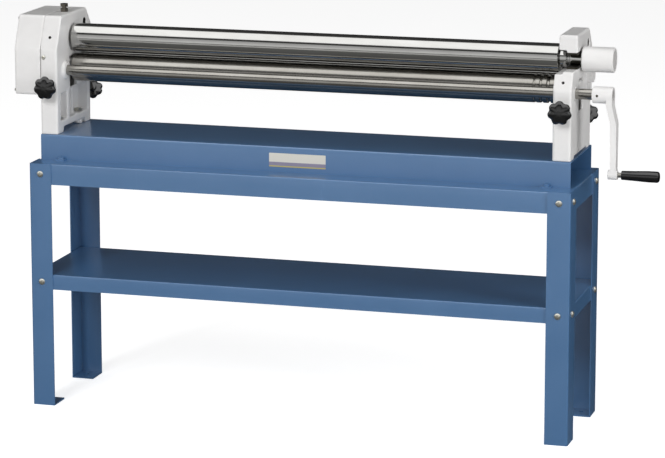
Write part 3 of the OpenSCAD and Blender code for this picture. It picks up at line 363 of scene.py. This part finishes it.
# Label: a thin plain plate, pale over a grey band with a yellow rule, glued to the channel's front.
# Its corners are cut back a little, and its gloss is uneven with handling.
LABEL_X = (-0.0865, 0.0675)
LABEL_Y = -0.1113
LABEL_Z = (0.673, 0.710)
LABEL_T = 0.0006
LABEL_CORNER = 0.0008
GREY_BAND_H = 0.0135
RULE_H = (0.0014, 0.0036)
label_mesh = bpy.data.meshes.new("label")
plate = bmesh.new()
bmesh.ops.create_cube(plate, size=1, matrix=Matrix.Translation(
    (sum(LABEL_X) / 2, LABEL_Y, sum(LABEL_Z) / 2)) @ Matrix.Diagonal(
    (LABEL_X[1] - LABEL_X[0], LABEL_T, LABEL_Z[1] - LABEL_Z[0], 1)))
corners = [e for e in plate.edges if abs((e.verts[0].co - e.verts[1].co).y) > LABEL_T / 2]
bmesh.ops.bevel(plate, geom=corners, offset=LABEL_CORNER, segments=3, affect="EDGES", clamp_overlap=True)
plate.to_mesh(label_mesh)
plate.free()
label = set_in_scene("label", label_mesh)
label_mat, label_shader, label_place = new_material("label_print", tint(214, 212, 202), 0.35)
low = label_place.part(2)
grey_band = low.below(LABEL_Z[0] + GREY_BAND_H)
rule = low.below(LABEL_Z[0] + RULE_H[1]) - low.below(LABEL_Z[0] + RULE_H[0])
field = grey_band.mix(tint(214, 211, 201), tint(140, 134, 154))
feed(label_shader, "Base Color", rule.mix(field, tint(196, 188, 84)))
wear = label_place.noise(140, 3, 0.6)
feed(label_shader, "Roughness", 0.3 + wear * 0.15)
label_mesh.materials.append(label_mat)
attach(label, "stand")


# Rolls and crank shaft: steel bars ground round and chromed, with faint rings from grinding.
# The lower roll and the shaft take a duller and darker chrome than the other two rolls.
def ground_chrome(name, roughness, clean, filmed):
    made, shader, place = new_material(name, clean, roughness, 1.0)
    rings = place.stretched(900, 1, 1).noise(1.0, 4, 0.7)
    film = place.stretched(1, 3, 3).noise(6, 4, 0.6)
    feed(shader, "Base Color", film.ramp(0.3, 0.75).mix(clean, filmed))
    feed(shader, "Roughness", roughness - 0.04 + rings * 0.05 + film * 0.05)
    bump(shader, rings, 0.012, 0.0001)
    return made


chrome = ground_chrome("ground_chrome", 0.085, tint(190, 190, 188), tint(172, 171, 168))
for name in ("upper_roll", "rear_roll"):
    skin(name, chrome, crease=25)
darker_dull_chrome = ground_chrome("darker_dull_chrome", 0.19, tint(160, 158, 153), tint(140, 137, 131))
for name in ("lower_roll", "crank_shaft"):
    skin(name, darker_dull_chrome, crease=25)


# Gears, wedges, screws and pins: machined steel, bare and lightly oiled. The open slot's lining is
# darker iron, and the bolt on the left head, its lock nut and the crank's set screw are blacked.
def oiled_steel(name, colour, roughness):
    made, shader, place = new_material(name, tint(*colour), roughness, 0.95)
    grain = place.noise(300, 4, 0.6)
    film = place.noise(22, 3, 0.5)
    feed(shader, "Base Color", film.ramp(0.3, 0.7).mix(tint(*(c * 0.86 for c in colour)), tint(*colour)))
    feed(shader, "Roughness", roughness - 0.08 + grain * 0.2)
    bump(shader, grain, 0.08, 0.0002)
    return made


steel = oiled_steel("oiled_steel", (172, 170, 164), 0.34)
for name in ("swivel_block", "wedge_left", "wedge_right", "front_screw_left", "front_screw_right",
             "rear_screw_left", "rear_screw_right", "drive_pinion", "idler_gear", "idler_pin",
             "drive_wheel", "upper_gear", "gear_spindle", "lower_gear", "grip_pin"):
    skin(name, steel)
skin("journal_liner", oiled_steel("dark_iron", (72, 69, 63), 0.45))
blacked = oiled_steel("blacked_steel", (118, 114, 106), 0.2)
for name in ("swivel_bolt", "swivel_locknut", "crank_set_screw"):
    skin(name, blacked)


# Knobs: star knobs moulded in glossy black thermoset round a steel insert. Seven ridges run over the
# domed face to the points of the star, and a plain hub behind takes the screw.
def black_moulding(name, roughness):
    made, shader, place = new_material(name, tint(15, 15, 16), roughness)
    ripple = place.noise(160, 2, 0.5)
    wipe = place.noise(30, 4, 0.6)
    feed(shader, "Base Color", wipe.ramp(0.4, 0.8).mix(tint(9, 9, 10), tint(18, 18, 19)))
    feed(shader, "Roughness", roughness - 0.03 + wipe * 0.1)
    bump(shader, ripple, 0.05, 0.0002)
    shader.inputs["Coat Weight"].default_value = 0.45
    shader.inputs["Coat Roughness"].default_value = 0.1
    return made


KNOB_R = 0.0312
KNOB_LOBES = 7
KNOB_SPOKES = 16 * KNOB_LOBES
KNOB_DISH = 0.0011
KNOB_DISH_END = 0.01
KNOB_VALLEY = 1.6
KNOB_CREASE = 40
# Rings from the face to the hub: share of the radius, depth behind the face, share that a valley takes
KNOB_RINGS = ((0.1, 0.0001, 0.01), (0.28, 0.0004, 0.03), (0.48, 0.0014, 0.06), (0.68, 0.0032, 0.09),
              (0.83, 0.0055, 0.11), (0.94, 0.0082, 0.125), (1.0, 0.0115, 0.13), (1.0, 0.0150, 0.13),
              (0.96, 0.0176, 0.125), (0.86, 0.0189, 0.1), (0.56, 0.0191, 0), (0.46, 0.0198, 0),
              (0.42, 0.0240, 0))


def lay_ring(ring, reach, depth, valley_share):
    for v in ring:
        valley = (0.5 - 0.5 * math.cos(KNOB_LOBES * math.atan2(v.co.y, v.co.x))) ** KNOB_VALLEY
        dish = KNOB_DISH * valley * reach ** 2 if depth < KNOB_DISH_END else 0
        spoke = v.co.xy.normalized() * KNOB_R * reach * (1 - valley_share * valley)
        v.co = (*spoke, depth + dish)


black = black_moulding("black_moulding", 0.2)
for name in ("front_knob_left", "front_knob_right", "rear_knob_left", "rear_knob_right"):
    star = bmesh.new()
    bmesh.ops.create_circle(star, cap_ends=True, segments=KNOB_SPOKES, radius=1)
    lay_ring(star.verts, *KNOB_RINGS[0])
    rim = star.edges[:]
    for ring_form in KNOB_RINGS[1:]:
        grown = bmesh.ops.extrude_edge_only(star, edges=rim)["geom"]
        lay_ring([g for g in grown if isinstance(g, bmesh.types.BMVert)], *ring_form)
        rim = [g for g in grown if isinstance(g, bmesh.types.BMEdge) and g.is_boundary]
    bmesh.ops.contextual_create(star, geom=rim)
    turn_joint = next(j for j in frame["record"]["behaviour"]["joints"] if j["child"] == home[name])
    pivot = Vector(turn_joint["pos_m"])
    inward = Vector(turn_joint["axis"])
    up = (Vector((0, 0, 1)) - inward * inward.z).normalized()
    turned = Matrix((up, inward.cross(up), inward)).transposed().to_4x4()
    face = pivot + inward * min((Vector(v.co) - pivot).dot(inward) for v in nodes[name].data.vertices)
    bmesh.ops.transform(star, matrix=Matrix.Translation(face) @ turned, verts=star.verts)
    bmesh.ops.recalc_face_normals(star, faces=star.faces)
    for edge in star.edges:
        edge.smooth = edge.calc_face_angle(0) < math.radians(KNOB_CREASE)
    for polygon in star.faces:
        polygon.smooth = True
    knob_mesh = bpy.data.meshes.new(name)
    star.to_mesh(knob_mesh)
    star.free()
    knob_mesh.materials.append(black)
    dress(set_in_scene(name + "_star", knob_mesh), name)


# Crank grip: a long handle turned from the same black plastic as the knobs and polished.
# It turns freely on the pin at the end of the crank's arm.
skin("crank_grip", black_moulding("polished_grip", 0.1))


# Floor: a plain pale studio floor that shows white to the camera and keeps the soft shadow.
# In the chrome it shows pale only well in front of the machine, then grey, and dark behind it.
FLOOR_HALF = 30
CAMERA_GLOW = 0.65
FLOOR_PALE = (0.9, 0.9, 0.9, 1)
GREY_FROM = (-3.6, -3.2)
DARK_FROM = (-1.0, 0.6)
floor_mesh = bpy.data.meshes.new("floor")
plane = bmesh.new()
bmesh.ops.create_grid(plane, x_segments=1, y_segments=1, size=FLOOR_HALF)
plane.to_mesh(floor_mesh)
plane.free()
floor = set_in_scene("floor", floor_mesh)
floor_mat, floor_shader, floor_place = new_material("studio_floor", FLOOR_PALE, 0.9)
rays = Shade(floor_mat.node_tree, None)
toward_back = floor_place.part(1)
near = toward_back.ramp(*GREY_FROM).mix((0.62, 0.62, 0.61, 1), (0.2, 0.2, 0.195, 1))
mirrored = toward_back.ramp(*DARK_FROM).mix(near, (0.02, 0.02, 0.02, 1))
feed(floor_shader, "Base Color", rays.node("ShaderNodeLightPath", output=3).mix(FLOOR_PALE, mirrored))
floor_shader.inputs["Specular IOR Level"].default_value = 0.0
floor_shader.inputs["Emission Color"].default_value = (1, 1, 1, 1)
feed(floor_shader, "Emission Strength", rays.node("ShaderNodeLightPath") * CAMERA_GLOW)
floor_mesh.materials.append(floor_mat)


# Light: a big soft key from the front, a little to the left, a fill from the right and a soft box
# overhead, in a white surround. In the chrome the surround shows as bright and dark bands instead.
AMBIENT = 0.25
BAND_GAIN = 1.85
# Degrees up from the front of the studio and over to its back, and the grey that a mirror meets there
STUDIO_BANDS = ((0, 0.55), (22, 0.34), (26, 0.4), (30, 0.04), (43, 0.04), (47, 1.0), (104, 1.0),
                (112, 0.04), (160, 0.02), (178, 0.02))
world = bpy.data.worlds.new("studio")
bpy.context.scene.world = world
world.use_nodes = True
sky = world.node_tree.nodes["Background"]
seen = Shade(world.node_tree, None)
direct = seen.node("ShaderNodeLightPath")
glossy = seen.node("ShaderNodeLightPath", output=3)
toward = seen.node("ShaderNodeTexCoord", output=0)
height = toward.part(2).maths("ARCTAN2", 0 - toward.part(1)) * (1 / math.pi)
bands = height.node("ShaderNodeValToRGB", {"stops": [
    (degrees / 180, (grey, grey, grey, 1)) for degrees, grey in STUDIO_BANDS]}, {"Fac": height})
strength = direct.maths("MAXIMUM", glossy.mix((AMBIENT, AMBIENT, AMBIENT, 1), bands * BAND_GAIN))
world.node_tree.links.new(strength.socket, sky.inputs["Strength"])
sky.inputs["Color"].default_value = (1, 1, 1, 1)


def soft_box(name, place, aim, size, watts):
    data = bpy.data.lights.new(name, "AREA")
    data.shape = "RECTANGLE"
    data.size, data.size_y = size
    data.energy = watts
    holder = set_in_scene(name, data)
    holder.location = place
    holder.rotation_euler = (Vector(aim) - Vector(place)).to_track_quat("-Z", "Y").to_euler()
    holder.visible_glossy = False


soft_box("key", (-1.36, -7.68, 5.2), (0, 0, 0.7), (3.2, 3.2), 410)
soft_box("fill", (7.5, -3.0, 2.2), (0, 0, 0.7), (3.0, 3.0), 270)
soft_box("overhead", (1.6, 0.2, 4.0), (0.3, 0, 0.7), (2.5, 1.6), 20)
